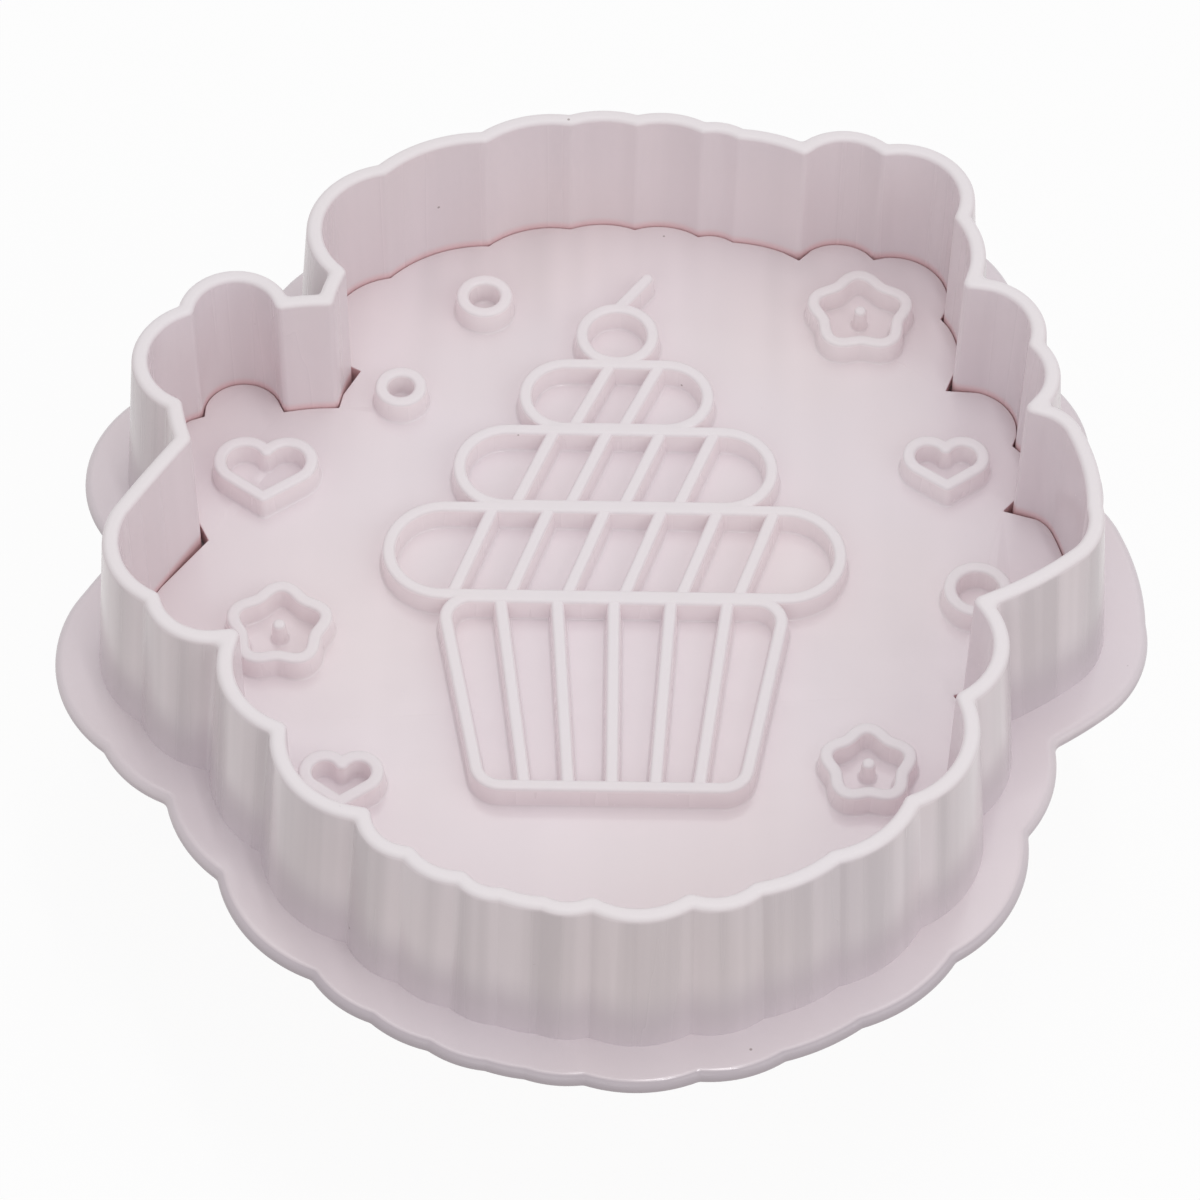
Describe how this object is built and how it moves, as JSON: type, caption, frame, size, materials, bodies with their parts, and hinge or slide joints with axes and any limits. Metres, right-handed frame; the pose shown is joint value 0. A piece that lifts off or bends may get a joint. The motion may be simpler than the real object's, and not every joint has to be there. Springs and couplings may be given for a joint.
{
  "type": "pastry stamp",
  "caption": "Spring-loaded pastry stamp: a scalloped cutter with a flange round a relief plate, which a knob at the back pushes out to press and release the dough.",
  "frame": {"origin": "centre of the push face of the knob, at the back of the stamp", "axes": "+Z from the knob towards the cutting rim, +Y towards the side of the outline that lies at the back of the picture, +X to its right"},
  "size_m": [0.086, 0.0899, 0.0418],
  "materials": {
    "moulded_plastic": "pale lilac-pink, semi-gloss as moulded, with fine draw-polish streaks on the walls",
    "spring_wire": "bright drawn wire",
    "zinc_steel": "bright zinc plating"
  },
  "bodies": {
    "cutter": {"cutter_shell": "moulded_plastic", "return_spring": "spring_wire"},
    "plunger": {"stamp_plate": "moulded_plastic", "push_knob": "moulded_plastic", "knob_cap": "moulded_plastic", "clamp_screw": "zinc_steel", "screw_washer": "zinc_steel"}
  },
  "joints": [
    {"name": "plunger_slide", "type": "slide", "parent": "cutter", "child": "plunger", "axis": [0, 0, 1], "range_m": [0, 0.01], "stiffness_N_per_m": 590, "springref_m": -0.008, "deforming": ["return_spring"]}
  ]
}
